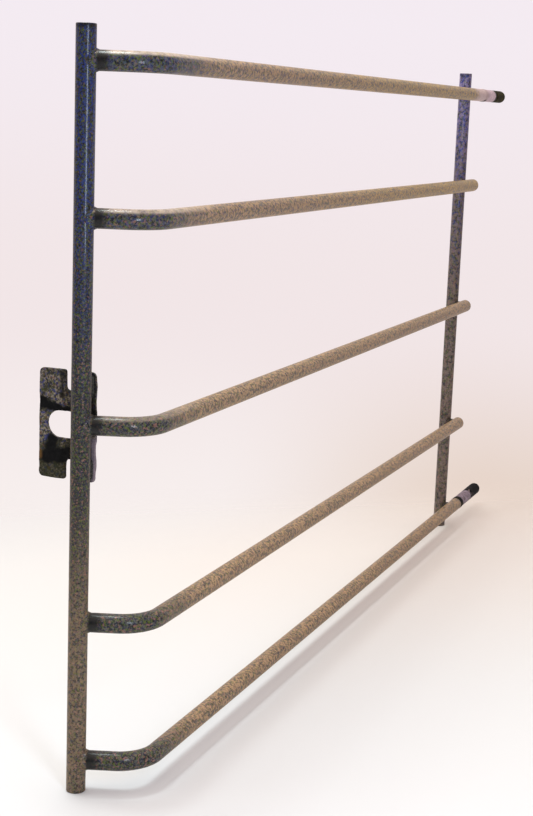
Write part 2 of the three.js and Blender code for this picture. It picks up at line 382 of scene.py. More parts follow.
# Where they change: each pair is where a change starts and where it's complete.
ROOT_DARK_FROM = (TUBE_RADIUS, TUBE_RADIUS + 0.005)
ROOT_DARK_TO = (TUBE_RADIUS + 0.029, TUBE_RADIUS + 0.012)
LEG_SPLASH = (TUBE_RADIUS + 0.004, TUBE_RADIUS - 0.002)
# Painted cool light: the heights over which the blue flecks fill out.
COOL_LIGHT_HEIGHTS = (0.60, 1.15)
VEIL_HEIGHTS = (0.92, 1.36)
SPLASH_HEIGHTS = (0.59, 0.23)
RUN_DUST_AND_LIGHT_FROM = (0.04, 0.24)
RIM_HEIGHTS = (GATE_HEIGHT - 0.013, GATE_HEIGHT - 0.003)
HIGH_FAR_DUST_AND_REFLECTION_FROM = (0.4, 1.6)
TOP_DUST_AND_HIGHLIGHT_PLACES = (0.32, 0.09)
TOP_DUST_AND_HIGHLIGHT_HEIGHTS = (0.40, 1.10)
TOP_RAIL_WORN = (FAR.x - 0.075, FAR.x - 0.005)
DARK_END = (TUBE_END_X["bottom"] - 0.006, TUBE_END_X["bottom"] - 0.001)

RUN_DUST_AND_LIGHT_SHARE = 0.72
TOP_RUN_DUST_AND_LIGHT_LATER = 0.04


def leg_root(m):
    """1 in the dark band where a leg leaves the near upright, with a ragged far edge."""
    place = m.along_leg()
    ragged = m.math("ADD", place, m.wobble(120, 0.014))
    return m.math("MULTIPLY", m.between(place, *ROOT_DARK_FROM), m.between(ragged, *ROOT_DARK_TO))


def flecked(m, grain, blue, pale=1.0):
    """Base colour of the paint. Its blue flecks fill out with height, up to the given share, as painted
    cool light on the upper parts, and its brown flecks thin out in step.

    Pale is how strong the pale grain is high up.
    """
    fleck = m.noise(grain, 6.0, 0.82)
    grainy = m.ramp(fleck, (0.47, 0.0), (0.58, 1.0))
    if pale < 1.0:
        fading = m.between(m.axis(2), SPLASH_HEIGHTS[1], SPLASH_HEIGHTS[0])
        fading = m.math("MULTIPLY", fading, 1.0 - pale)
        grainy = m.math("MULTIPLY", grainy, m.math("SUBTRACT", 1.0, fading))
    colour = m.mix(grainy, PAINT_DARK, PAINT_LIGHT)
    colour = m.mix(m.flecks(grain * 0.86, 0.52, 0.85), colour, FLECK_OLIVE)
    # Painted cool light: blue flecks grow and brown flecks thin out with height.
    high = m.between(m.axis(2), *COOL_LIGHT_HEIGHTS)
    brownish = m.math("SUBTRACT", 1.0, m.math("MULTIPLY", high, blue), clamp=True)
    brown = m.math("MULTIPLY", m.flecks(grain * 0.74, 0.56, 0.80), brownish)
    colour = m.mix(brown, colour, FLECK_BROWN)
    bluish = m.math("ADD", m.math("MULTIPLY", high, blue), 0.12)
    blue_flecks = m.math("MULTIPLY", m.flecks(grain * 0.80, 0.47, 1.0), bluish, clamp=True)
    colour = m.mix(blue_flecks, colour, FLECK_BLUE)
    return fleck, colour


def gloss(m, fleck, pale_cover, colour, metallic=None):
    """Roughness, hammered bump, thin coat and warm sheen of a painted piece."""
    roughness = m.ramp(m.noise(150, 3.0, 0.6), (0.3, 0.40), (0.7, 0.56))
    roughness = m.mix(pale_cover, roughness, (0.85, 0.85, 0.85))
    hammered = m.bump(m.noise(210, 2.0, 0.5), 0.00035, 0.6)
    normal = m.bump(fleck, 0.00012, 0.5, hammered)
    m.set("Specular IOR Level", 0.22)
    m.set("Coat Weight", 0.22)
    m.set("Coat Roughness", 0.11)
    m.set("Sheen Weight", 0.16)
    m.set("Sheen Roughness", 0.25)
    m.set("Sheen Tint", (1.0, 0.70, 0.36, 1.0))
    return m.done(colour, roughness, normal, metallic)


def upright_paint(name, grain, blue, pale, veil_dust_and_cool_light, veil_share, splash, rim_dark, root_dark=0.0):
    """Dark flecked paint. Mud dust lies near the floor, and a thin veil over the whole.

    The veil's colours are for low down and high up: dust low down, painted cool light high up,
    bluer and paler. Root dark is for the leg welds on the near upright: how dark they get off
    the upright's own surface.
    """
    m = Nodes(name)
    fleck, colour = flecked(m, grain, blue, pale)
    patchy = m.ramp(m.noise(grain * 0.55, 5.0, 0.75), (0.44, 0.10), (0.56, 1.0))
    # Painted cool light: the veil turns from a dust colour low down to a paler blue high up.
    veil = m.mix(m.between(m.axis(2), *VEIL_HEIGHTS), *veil_dust_and_cool_light)
    colour = m.mix(m.math("MULTIPLY", patchy, veil_share), colour, veil)
    splashed = m.math("MULTIPLY", m.between(m.axis(2), *SPLASH_HEIGHTS), splash)
    pale_cover = m.math("MULTIPLY", splashed, patchy, clamp=True)
    colour = m.mix(pale_cover, colour, DUST_AND_GLANCING_LIGHT)
    rim = m.between(m.math("ADD", m.axis(2), m.wobble(110, 0.016)), *RIM_HEIGHTS)
    colour = m.mix(m.math("MULTIPLY", rim, rim_dark), colour, PAINT_BLACK)
    if root_dark:
        colour = m.mix(m.math("MULTIPLY", leg_root(m), root_dark), colour, PAINT_BLACK)
    return gloss(m, fleck, pale_cover, colour)


def run_dust_and_glancing_light(m, patchy):
    """How much dust and painted glancing light a rail has: none along its leg, and much on the run past
    the bend.
    """
    later = m.between(m.axis(2), RAIL_Z["upper"], RAIL_Z["top"])
    later = m.math("MULTIPLY", later, TOP_RUN_DUST_AND_LIGHT_LATER)
    along = m.math("SUBTRACT", m.math("ADD", m.axis(0), m.wobble(25, 0.22)), later)
    run = m.between(along, *RUN_DUST_AND_LIGHT_FROM)
    return m.math("MULTIPLY", m.math("MULTIPLY", run, RUN_DUST_AND_LIGHT_SHARE), patchy)


def leg_top_dust_and_highlight(m):
    """Settled dust and a painted highlight band on top of a rail's leg and bend, on the rails from the
    middle one up.
    """
    on_top = m.math("MULTIPLY", m.between(m.facing_up(), 0.50, 0.78), 0.52)
    on_top = m.math("MULTIPLY", on_top, m.ramp(m.noise(90, 4.0, 0.7), (0.35, 0.4), (0.55, 1.0)))
    on_top = m.math("MULTIPLY", on_top, m.between(m.axis(0), *TOP_DUST_AND_HIGHLIGHT_PLACES))
    return m.math("MULTIPLY", on_top, m.between(m.axis(2), *TOP_DUST_AND_HIGHLIGHT_HEIGHTS))


def rail_paint(name, grain, worn_end=False, dark_end=False):
    """The same paint, dark at the leg's root, with dust, painted glancing light and a painted highlight.
    The far end may be worn bare or dark.
    """
    m = Nodes(name)
    fleck, colour = flecked(m, grain, 0.22)
    patchy = m.ramp(m.noise(grain * 0.7, 5.0, 0.75), (0.44, 0.10), (0.56, 1.0))
    # Dust and painted glancing light on the runs past the bend.
    pale_cover = run_dust_and_glancing_light(m, patchy)
    # Painted reflection: on the upper rails the dust colour turns paler and yellower towards the far end.
    high = m.between(m.axis(2), RAIL_Z["middle"], RAIL_Z["upper"])
    high_far = m.math("MULTIPLY", m.between(m.axis(0), *HIGH_FAR_DUST_AND_REFLECTION_FROM), high)
    colour = m.mix(pale_cover, colour, m.mix(high_far, DUST_AND_GLANCING_LIGHT, HIGH_FAR_DUST_AND_REFLECTION))
    # Settled dust and a painted highlight along the legs' tops.
    colour = m.mix(leg_top_dust_and_highlight(m), colour, TOP_DUST_AND_HIGHLIGHT)
    splashed = m.math("MULTIPLY", m.between(m.axis(2), *SPLASH_HEIGHTS), 0.34)
    splashed = m.math("MULTIPLY", splashed, m.between(m.along_leg(), *LEG_SPLASH))
    colour = m.mix(m.math("MULTIPLY", splashed, patchy), colour, DUST_AND_GLANCING_LIGHT)
    colour = m.mix(m.math("MULTIPLY", leg_root(m), 0.95), colour, PAINT_BLACK)
    metallic = None
    if dark_end:
        stain = m.between(m.math("ADD", m.axis(0), m.wobble(120, 0.010)), *DARK_END)
        colour = m.mix(m.math("MULTIPLY", stain, 0.9), colour, PAINT_BLACK)
    if worn_end:
        place = m.math("ADD", m.axis(0), m.wobble(110, 0.10))
        worn = m.between(place, *TOP_RAIL_WORN)
        scuffed = m.mix(m.ramp(fleck, (0.48, 0.0), (0.62, 0.5)), WORN_STEEL, FLECK_BROWN)
        colour = m.mix(worn, colour, scuffed)
        metallic = m.math("MULTIPLY", worn, 0.3)
    return gloss(m, fleck, pale_cover, colour, metallic)


def weld_paint():
    """The near-black paint over the welds."""
    m = Nodes("weld_paint")
    scale = m.noise(300, 4.0, 0.7)
    colour = m.mix(m.ramp(scale, (0.40, 0.0), (0.60, 1.0)), PAINT_BLACK, WELD_SCALE)
    roughness = m.ramp(m.noise(200, 3.0, 0.6), (0.3, 0.45), (0.7, 0.7))
    m.set("Specular IOR Level", 0.25)
    return m.done(colour, roughness, m.bump(scale, 0.0004, 0.6))


def forge_scale(m, scale):
    """Dark and pale forge scale with olive, rusty and blue flecks, and grime over part of it."""
    colour = m.mix(m.ramp(scale, (0.44, 0.0), (0.57, 1.0)), FORGE_DARK, FORGE_PALE)
    colour = m.mix(m.flecks(150, 0.53, 0.75), colour, FORGE_OLIVE)
    colour = m.mix(m.flecks(120, 0.57, 0.75), colour, FORGE_RUSTY)
    colour = m.mix(m.flecks(175, 0.53, 0.75), colour, FORGE_BLUE)
    grime = m.ramp(m.noise(42, 4.0, 0.65), (0.46, 0.0), (0.58, 0.75))
    return m.mix(grime, colour, FORGE_GRIME)


def forged(name):
    """The keeper plate: forge scale, worn grey-brown on the open faces, and near-black painted shade in
    the hollows and along the shaded strokes.

    The flange on the rails' side is paler and lilac low down, and the other one is darker low down.
    """
    m = Nodes(name)
    middle = RAIL_Z["middle"]
    scale = m.noise(230, 5.0, 0.75)
    pits = m.cells(260)
    colour = forge_scale(m, scale)
    # The flange on the rails' side turns paler and lilac low down.
    painted = m.between(m.axis(1), -0.009, -0.012)
    painted = m.math("MULTIPLY", painted, m.between(m.axis(2), middle - 0.015, middle - 0.035))
    colour = m.mix(m.math("MULTIPLY", painted, 0.8), colour, m.mix(scale, *FORGE_PALER_LOW))
    low_part = m.between(m.axis(2), middle - 0.030, middle - 0.062)
    low_part = m.math("MULTIPLY", low_part, m.between(m.axis(1), -0.012, -0.006))
    colour = m.mix(m.math("MULTIPLY", low_part, 0.70), colour, FORGE_LOW)
    # Painted shade: near-black in the hollows and along the shaded strokes.
    colour = m.mix(m.attribute("painted_shade"), colour, FORGE_SHADE_BLACK)
    colour = m.mix(m.attribute("rust"), colour, m.mix(scale, RUST, YELLOW_RUST))
    roughness = m.ramp(m.noise(120, 3.0, 0.6), (0.3, 0.6), (0.7, 0.9))
    rough_cast = m.bump(scale, 0.0008, 0.6)
    normal = m.bump(pits, 0.0003, 0.4, rough_cast)
    m.set("Specular IOR Level", 0.18)
    return m.done(colour, roughness, normal)


def bare_steel(name, clean, dull, smeared):
    """Bare steel with smears, rust specks and fine turning marks.

    Smeared is the length next to the cap that is black.
    """
    m = Nodes(name)
    turning = m.noise(40, 3.0, 0.6, stretch=(60, 1, 1))
    smear = m.noise(110, 4.0, 0.75)
    colour = m.mix(m.ramp(smear, (0.42, 0.0), (0.58, 1.0)), clean, dull)
    colour = m.mix(m.flecks(180, 0.60, 0.7), colour, RUST)
    place = m.math("ADD", m.axis(0), m.wobble(120, 0.010))
    black_from = CAP_START_X - smeared
    colour = m.mix(m.between(place, black_from, black_from + 0.004), colour, PAINT_BLACK)
    roughness = m.ramp(smear, (0.3, 0.42), (0.7, 0.60))
    normal = m.bump(turning, 0.0001, 0.5)
    m.set("Metallic", 0.4)
    m.set("Specular IOR Level", 0.3)
    return m.done(colour, roughness, normal)


def rubber(name, plain, stain, dust_share=0.0, scuffs=0.0):
    """Dark rubber with stains, and dust everywhere but underneath.

    Scuffs is how far pale smears reach from its near edge, on the side away from the uprights.
    """
    m = Nodes(name)
    grain = m.noise(500, 3.0, 0.6)
    stains = m.flecks(130, 0.55, 0.8)
    colour = m.mix(stains, plain, stain)
    pale_cover = m.math("MULTIPLY", m.between(m.facing_up(), -0.85, -0.55), dust_share)
    colour = m.mix(pale_cover, colour, WORN_STEEL)
    if scuffs:
        near_edge = m.between(m.axis(0), CAP_START_X + scuffs, CAP_START_X)
        smear = m.ramp(m.noise(150, 4.0, 0.7, stretch=(0.5, 1, 1)), (0.53, 0.0), (0.60, 0.9))
        outer_side = m.between(m.axis(1), RUN_Y, RUN_Y - TUBE_RADIUS * 0.6)
        smear = m.math("MULTIPLY", m.math("MULTIPLY", smear, near_edge), outer_side)
        colour = m.mix(smear, colour, WORN_STEEL)
    roughness = m.ramp(grain, (0.3, 0.60), (0.7, 0.80))
    normal = m.bump(grain, 0.0002, 0.4)
    m.set("Specular IOR Level", 0.06)
    return m.done(colour, roughness, normal)


# Veil colours, low and high: dust low down, painted cool light high up.
NEAR_VEIL_DUST_AND_COOL_LIGHT = ((0.09, 0.08, 0.08), (0.08, 0.08, 0.10))
FAR_VEIL_DUST_AND_COOL_LIGHT = ((0.31, 0.21, 0.18), (0.49, 0.38, 0.66))
NEAR_LOOK = dict(grain=310, blue=0.60, pale=0.48, veil_dust_and_cool_light=NEAR_VEIL_DUST_AND_COOL_LIGHT, veil_share=0.04, splash=0.34)
FAR_LOOK = dict(grain=190, blue=0.95, pale=1.0, veil_dust_and_cool_light=FAR_VEIL_DUST_AND_COOL_LIGHT, veil_share=0.48, splash=0.03)
NEAR_PAINT = upright_paint("near_upright_paint", rim_dark=0.8, **NEAR_LOOK)
LEG_WELD_PAINT = upright_paint("leg_weld_paint", rim_dark=0.0, root_dark=0.92, **NEAR_LOOK)
FAR_PAINT = upright_paint("far_upright_paint", rim_dark=0.3, **FAR_LOOK)
RAIL_PAINT = rail_paint("rail_paint", 230)
WORN_RAIL_PAINT = rail_paint("worn_rail_paint", 230, worn_end=True)
BOTTOM_RAIL_PAINT = rail_paint("bottom_rail_paint", 230, dark_end=True)
WELD_PAINT = weld_paint()
FORGED = forged("forged_plate")
TOP_STEEL = bare_steel("worn_pale_steel", (0.62, 0.47, 0.51), (0.44, 0.33, 0.37), smeared=0.012)
BOTTOM_STEEL = bare_steel("bare_steel", (0.30, 0.23, 0.30), (0.10, 0.075, 0.085), smeared=0.006)
RING_RUBBER = rubber("ring_rubber", BLACK_RUBBER, OLIVE_STAIN)
DUSTY_RUBBER = rubber("dusty_rubber", BLACK_RUBBER, OLIVE_STAIN, dust_share=0.9)
TOP_CAP_RUBBER = rubber("top_cap_rubber", OLIVE_RUBBER, PALE_OLIVE_STAIN)
BOTTOM_CAP_RUBBER = rubber("bottom_cap_rubber", BLACK_RUBBER, GREY_STAIN, scuffs=0.032)


# ---------------------------------------------------------------- uprights


def tube_solid(rings_outer, rings_inner):
    return loop_of_rings(rings_outer + list(reversed(rings_inner)))


def add_upright_tube(side, axis, paint):
    low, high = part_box(f"{side}_upright")
    middle = [Vector((axis.x, axis.y, z)) for z in np.linspace(low.z, high.z, UPRIGHT_RINGS)]
    outer = [circle(p, EAST, NORTH, TUBE_RADIUS) for p in middle]
    inner = [circle(p, EAST, NORTH, TUBE_RADIUS - TUBE_WALL) for p in middle]
    tube = tube_solid(outer, inner)
    add_piece(f"{side}_upright_tube", *tube, paint, "painted_tube", [f"{side}_upright"])


def add_upright_plug(side, axis, paint, end, inward):
    """A disc that closes the tube's end, with a rounded rim, and a stub inside the tube."""
    node = f"{side}_{end}_plug"
    low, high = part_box(node)
    face = Vector((axis.x, axis.y, low.z if inward > 0 else high.z))
    disc = abs(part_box(f"{side}_upright")[0].z) - GAP
    stub = TUBE_RADIUS - TUBE_WALL - GAP
    outline = [(0.0, TUBE_RADIUS - 0.0030)]
    outline += arc_points(EDGE_ROUND, TUBE_RADIUS - EDGE_ROUND, EDGE_ROUND, 180, 90, 6)
    outline += [(disc, TUBE_RADIUS), (disc, stub), (high.z - low.z, stub)]
    solid = turned(outline, face, UP * inward, EAST)
    add_piece(f"{node}_disc", *solid, paint, "painted_tube", [node])


def add_upright(side, axis, paint):
    add_upright_tube(side, axis, paint)
    add_upright_plug(side, axis, paint, "foot", 1)
    add_upright_plug(side, axis, paint, "top", -1)


# ---------------------------------------------------------------- rails


def rail_line(name):
    """(point, heading, how bent) for each ring of a rail, after the coped first one."""
    z = RAIL_Z[name]
    tangent = BEND_RADIUS * math.tan(-LEG_ANGLE / 2)
    corner = Vector((LEG_CORNER_X + NEAR.x, RUN_Y, z))
    leg_end = corner - LEG_DIRECTION * tangent
    start = Vector((NEAR.x, NEAR.y, z))
    stations = []
    for share in np.linspace(0.3, 1.0, LEG_RINGS):
        stations.append((start.lerp(leg_end, float(share)), LEG_ANGLE, 0.0))
    bend_centre = Vector((corner.x + tangent, RUN_Y + BEND_RADIUS, z))
    for step in range(1, BEND_RINGS):
        share = step / BEND_RINGS
        heading = LEG_ANGLE * (1 - share)
        outward = Vector((math.sin(heading), -math.cos(heading), 0))
        stations.append((bend_centre + outward * BEND_RADIUS, heading, math.sin(math.pi * share)))
    run_start = corner.x + tangent
    count = int((TUBE_END_X[name] - run_start) / RUN_RING_SPACING)
    for x in np.linspace(run_start, TUBE_END_X[name], count):
        stations.append((Vector((float(x), RUN_Y, z)), 0.0, 0.0))
    return stations


def rail_ring(point, heading, bent, radius):
    """A ring across the rail, made oval in the bend."""
    side = Vector((-math.sin(heading), math.cos(heading), 0))
    ring = circle(point, side, UP, radius)
    flatten = BEND_FLATTENING * bent
    return [p - side * ((p - point).dot(side) * flatten) for p in ring]


def coped_ring(z, radius):
    """The leg's first ring, on the near upright's surface."""
    foot = Vector((NEAR.x, NEAR.y, z))
    reach = TUBE_RADIUS + GAP
    ring = []
    for point in circle(foot, LEG_SIDE, UP, radius):
        sideways = (point - foot).dot(LEG_SIDE)
        ring.append(point + LEG_DIRECTION * math.sqrt(max(reach ** 2 - sideways ** 2, 0)))
    return ring


def add_rail(name):
    stations = rail_line(name)
    z = RAIL_Z[name]
    bore = TUBE_RADIUS - TUBE_WALL
    outer = [coped_ring(z, TUBE_RADIUS)] + [rail_ring(*s, TUBE_RADIUS) for s in stations]
    inner = [coped_ring(z, bore)] + [rail_ring(*s, bore) for s in stations]
    material = {"top": WORN_RAIL_PAINT, "bottom": BOTTOM_RAIL_PAINT}.get(name, RAIL_PAINT)
    tube = tube_solid(outer, inner)
    add_piece(f"{name}_rail_tube", *tube, material, "painted_tube", [f"{name}_rail"])


def add_domed_plug(name):
    node = f"{name}_rail_end_plug"
    low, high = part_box(node)
    head = TUBE_END_X[name] + GAP
    dome = high.x - head
    stub = TUBE_RADIUS - TUBE_WALL - GAP
    outline = [(low.x - head, stub), (0.0, stub), (0.0, TUBE_RADIUS - 0.0004), (DOME_RIM, TUBE_RADIUS)]
    for step in range(1, DOME_STEPS):
        angle = math.pi / 2 * step / DOME_STEPS
        along = DOME_RIM + (dome - DOME_RIM) * math.sin(angle)
        outline.append((along, TUBE_RADIUS * math.cos(angle) ** 0.8))
    solid = turned(outline, Vector((head, RUN_Y, RAIL_Z[name])), EAST, NORTH)
    add_piece(f"{node}_dome", *solid, RAIL_PAINT, "painted_tube", [node])


# ---------------------------------------------------------------- spigots


def rounded_box_wave(value):
    """Turns a sine or cosine into the outline of a box with round corners."""
    return math.copysign(abs(value) ** 0.35, value)


def add_spigot_bar(name, origin, shank):
    """The turned bar: a shank in the tube, the bare length with fine marks, and a pin for the cap."""
    bar_low, bar_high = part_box(f"{name}_spigot")
    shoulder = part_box(f"{name}_spigot_ring")[1].x + GAP - origin.x
    bar_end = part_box(f"{name}_spigot_cap")[0].x - GAP - origin.x
    outline = [(bar_low.x - origin.x, shank), (shoulder, shank), (shoulder, TUBE_RADIUS - SPIGOT_EDGE)]
    outline.append((shoulder + SPIGOT_EDGE, TUBE_RADIUS))
    for step in range(1, 24):
        share = step / 24
        outline.append((shoulder + (bar_end - shoulder) * share, TUBE_RADIUS - TURNING_MARK * (step % 2)))
    outline += [(bar_end - SPIGOT_EDGE, TUBE_RADIUS), (bar_end, TUBE_RADIUS - SPIGOT_EDGE)]
    outline += [(bar_end, PIN_RADIUS), (bar_high.x - origin.x, PIN_RADIUS)]
    steel = TOP_STEEL if name == "top" else BOTTOM_STEEL
    bar = turned(outline, origin, EAST, NORTH)
    add_piece(f"{name}_spigot_bar", *bar, steel, "bare_steel", [f"{name}_spigot"])


def add_spigot_ring(name, origin, shank):
    """The dark ring where the paint stops. Its cross-section is a box with round corners."""
    low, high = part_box(f"{name}_spigot_ring")
    proud = (high.z - low.z) / 2
    thick = (proud - shank - GAP) / 2
    width = high.x - low.x
    middle = (low.x + high.x) / 2 - origin.x
    section = []
    for step in range(RING_STEPS):
        angle = 2 * math.pi * step / RING_STEPS
        along = middle + width / 2 * rounded_box_wave(math.cos(angle))
        radius = shank + GAP + thick + thick * rounded_box_wave(math.sin(angle))
        section.append(circle(origin + EAST * along, NORTH, EAST.cross(NORTH), radius))
    ring_rubber = DUSTY_RUBBER if name == "top" else RING_RUBBER
    ring = loop_of_rings(section)
    add_piece(f"{name}_spigot_o_ring", *ring, ring_rubber, "black_rubber", [f"{name}_spigot_ring"])


def add_spigot_cap(name, origin):
    """The rubber cap: hollow over the bar's pin, with a groove near its edge and a round end."""
    low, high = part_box(f"{name}_spigot_cap")
    start, end = low.x - origin.x, high.x - origin.x
    bore_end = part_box(f"{name}_spigot")[1].x + GAP - origin.x
    outline = [(bore_end, 0.0006), (bore_end, PIN_RADIUS + GAP), (start, PIN_RADIUS + GAP)]
    outline += [(start, TUBE_RADIUS - 0.0012), (start + 0.0010, TUBE_RADIUS)]
    outline += [(start + along, TUBE_RADIUS - depth) for along, depth in CAP_GROOVE]
    grooved = start + CAP_GROOVE[-1][0]
    straight = end - TUBE_RADIUS
    for step in range(1, 6):
        outline.append((grooved + (straight - grooved) * step / 6, TUBE_RADIUS))
    for step in range(CAP_STEPS):
        angle = math.pi / 2 * step / CAP_STEPS
        outline.append((straight + TUBE_RADIUS * math.sin(angle), TUBE_RADIUS * math.cos(angle)))
    cap_rubber = TOP_CAP_RUBBER if name == "top" else BOTTOM_CAP_RUBBER
    cap = turned(outline, origin, EAST, NORTH)
    add_piece(f"{name}_spigot_rubber_cap", *cap, cap_rubber, "black_rubber", [f"{name}_spigot_cap"])


def add_spigot(name):
    origin = Vector((TUBE_END_X[name], RUN_Y, RAIL_Z[name]))
    shank = TUBE_RADIUS - TUBE_WALL - GAP
    add_spigot_bar(name, origin, shank)
    add_spigot_ring(name, origin, shank)
    add_spigot_cap(name, origin)


# ---------------------------------------------------------------- welds


def bezier(start, knee, end, steps):
    """Points of a curve from start to end that is pulled towards the knee."""
    shares = np.linspace(0, 1, steps)
    return [start * (1 - t) ** 2 + knee * (2 * t * (1 - t)) + end * t ** 2 for t in shares]


def wander(seed, angle, size):
    """A slow, seamless wobble round a closed bead."""
    place = Vector((math.cos(angle) * 1.7 + seed * 7.3, math.sin(angle) * 1.7, seed * 3.1))
    return size * noise.noise(place)


def leg_weld_ring(foot, seed, angle):
    """The bead's cross-section at one angle round the leg: a curve from the leg to the upright."""
    sideways, rise = TUBE_RADIUS * math.cos(angle), TUBE_RADIUS * math.sin(angle)
    around = TUBE_RADIUS + WELD_FIT
    depth = math.sqrt(max(around ** 2 - sideways ** 2, 0.0))
    corner = foot + LEG_DIRECTION * depth + LEG_SIDE * sideways + UP * rise
    ripple = math.sin(angle * LEG_WELD_RIPPLES + 1.2 * math.sin(angle * 3 + seed))
    leg = LEG_WELD_SIZE + wander(seed, angle, 0.0014) + RIPPLE * ripple
    on_leg = corner + LEG_DIRECTION * leg
    spread = leg * 0.5
    turn = math.asin(max(-1, min(1, sideways / around))) + spread / TUBE_RADIUS * math.cos(angle)
    on_upright = (
        foot
        + LEG_DIRECTION * (TUBE_RADIUS * math.cos(turn))
        + LEG_SIDE * (TUBE_RADIUS * math.sin(turn))
        + UP * (rise + spread * math.sin(angle))
    )
    off_leg = LEG_SIDE * math.cos(angle) + UP * math.sin(angle)
    off_upright = (LEG_DIRECTION * depth + LEG_SIDE * sideways).normalized()
    outward = (off_leg + off_upright).normalized()
    knee = corner + outward * (LEG_WELD_THROAT + 0.0004 * ripple)
    start, end = on_leg - off_leg * LEG_WELD_BITE, on_upright - off_upright * LEG_WELD_BITE
    return bezier(start, knee, end, 9) + [corner - outward * LEG_WELD_THROAT]


def add_leg_weld(name, seed):
    """A painted fillet round the leg's root."""
    foot = Vector((NEAR.x, NEAR.y, RAIL_Z[name]))
    angles = [2 * math.pi * step / LEG_WELD_STEPS for step in range(LEG_WELD_STEPS)]
    bead = loop_of_rings([leg_weld_ring(foot, seed, angle) for angle in angles])
    node = f"{name}_rail_leg_weld"
    add_piece(f"{node}_bead", *bead, LEG_WELD_PAINT, "weld_metal", [node])


def add_lap_weld(name, seed):
    """Weld that fills the crevice round the point where a rail crosses the far upright."""
    rings = []
    for step in range(LAP_WELD_STEPS):
        angle = 2 * math.pi * step / LAP_WELD_STEPS
        ripple = math.sin(angle * LAP_WELD_RIPPLES)
        reach = LAP_WELD_REACH + wander(seed + 20, angle, 0.0016) + RIPPLE * ripple
        ring = []
        for share, side in ((0.25, 0), (1.0, 0), (1.05, 0.5), (1.0, 1), (0.25, 1)):
            x, dz = reach * share * math.cos(angle), reach * share * math.sin(angle)
            rail = RUN_Y + math.sqrt(TUBE_RADIUS ** 2 - dz ** 2) - LAP_WELD_BITE
            upright = FAR.y - math.sqrt(TUBE_RADIUS ** 2 - x ** 2) + LAP_WELD_BITE
            ring.append(Vector((FAR.x + x, rail + (upright - rail) * side, RAIL_Z[name] + dz)))
        rings.append(ring)
    node = f"{name}_rail_lap_weld"
    add_piece(f"{node}_bead", *loop_of_rings(rings), WELD_PAINT, "weld_metal", [node])


def add_plate_weld(node, side):
    """A fillet along the upright's back, between it and the plate. Side is -1 or 1, along Y."""
    low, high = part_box(node)
    rings = []
    for index, z in enumerate(np.linspace(low.z, high.z, PLATE_WELD_STEPS)):
        share = (index / (PLATE_WELD_STEPS - 1) - 0.5) * 2
        fullness = math.sqrt(max(1 - abs(share) ** 5, 0.02))
        ripple = RIPPLE * math.sin(index * 1.05)
        near_y = NEAR.y + side * 0.005
        far_y = near_y + side * (0.0100 * fullness + ripple)
        root = Vector((high.x, near_y, z))
        toe = Vector((high.x, far_y, z))
        sideways = PLATE_WELD_REACH * fullness
        crown_x = NEAR.x + math.sqrt(TUBE_RADIUS ** 2 - sideways ** 2)
        crown = Vector((crown_x, NEAR.y + side * sideways, z))
        knee = (toe + crown) / 2 + Vector((-0.0006, side * (0.0008 + ripple), 0))
        rings.append([root, *bezier(toe, knee, crown, 6)])
    add_piece(f"{node}_bead", *capped_rings(rings), WELD_PAINT, "weld_metal", [node])


def add_plate_welds():
    for level in ("upper", "lower"):
        add_plate_weld(f"keeper_weld_{level}_inner", -1)
        add_plate_weld(f"keeper_weld_{level}_outer", 1)


# ---------------------------------------------------------------- keeper plate


SLOT_Y = 0.042
SLOT_HALF_LENGTH = 0.032
SLOT_HALF_HEIGHT = 0.023
NOTCH_Y = 0.031
NOTCH_HALF = 0.008
WEB_HALF = 0.059
PLATE_CORNER = 0.009
PLATE_LIP = 0.004
SKIN_ROOM = 0.0006
PLATE_VOXEL = 0.0010

# Strokes on the plate's front, each from (y, z above the plate's middle) to (y, z), with a half width.
HOLLOWS = [
    ((0.096, 0.034), (0.083, 0.034), 0.0110),
    ((0.083, 0.034), (0.055, 0.0275), 0.0080),
    ((0.055, 0.0275), (0.026, 0.0245), 0.0060),
    ((0.064, -0.026), (0.070, -0.050), 0.0100),
    ((0.074, -0.058), (0.030, -0.050), 0.0130),
]
SHADED_STROKES = [
    ((-0.016, 0.092), (-0.016, 0.024), 0.0080),
    ((0.046, 0.088), (0.046, 0.048), 0.0025),
]
RUST_STROKES = [((0.089, -0.050), (0.089, -0.060), 0.0035)]
HOLLOW_DEPTH = 0.0022
HOLLOW_EDGE = 0.006


def arc(y, z, radius, start, end, steps=8):
    """Points of an arc in Y and Z. Angles are in degrees."""
    angles = np.radians(np.linspace(start, end, steps + 1))
    return [(y + radius * math.cos(a), z + radius * math.sin(a)) for a in angles]


def plate_outline(low, high):
    """The plate's H-shaped edge, in Y and Z."""
    middle = (low.z + high.z) / 2
    corner, lip = PLATE_CORNER, PLATE_LIP
    left, right = low.y + corner, high.y - corner
    root = WEB_HALF + NOTCH_HALF
    before, after = NOTCH_Y - NOTCH_HALF - lip, NOTCH_Y + NOTCH_HALF + lip
    outline = arc(left, low.z + corner, corner, 180, 270)
    outline += arc(before, low.z + lip, lip, 270, 360, 4)
    outline += arc(NOTCH_Y, middle - root, NOTCH_HALF, 180, 0)
    outline += arc(after, low.z + lip, lip, 180, 270, 4)
    outline += arc(right, low.z + corner, corner, 270, 360)
    outline += arc(right, high.z - corner, corner, 0, 90)
    outline += arc(after, high.z - lip, lip, 90, 180, 4)
    outline += arc(NOTCH_Y, middle + root, NOTCH_HALF, 360, 180)
    outline += arc(before, high.z - lip, lip, 0, 90, 4)
    outline += arc(left, high.z - corner, corner, 90, 180)
    return outline


def slot_outline(middle):
    half = SLOT_HALF_LENGTH - SLOT_HALF_HEIGHT
    outline = arc(SLOT_Y - half, middle, SLOT_HALF_HEIGHT, 90, 270, 20)
    outline += arc(SLOT_Y + half, middle, SLOT_HALF_HEIGHT, -90, 90, 20)
    return outline


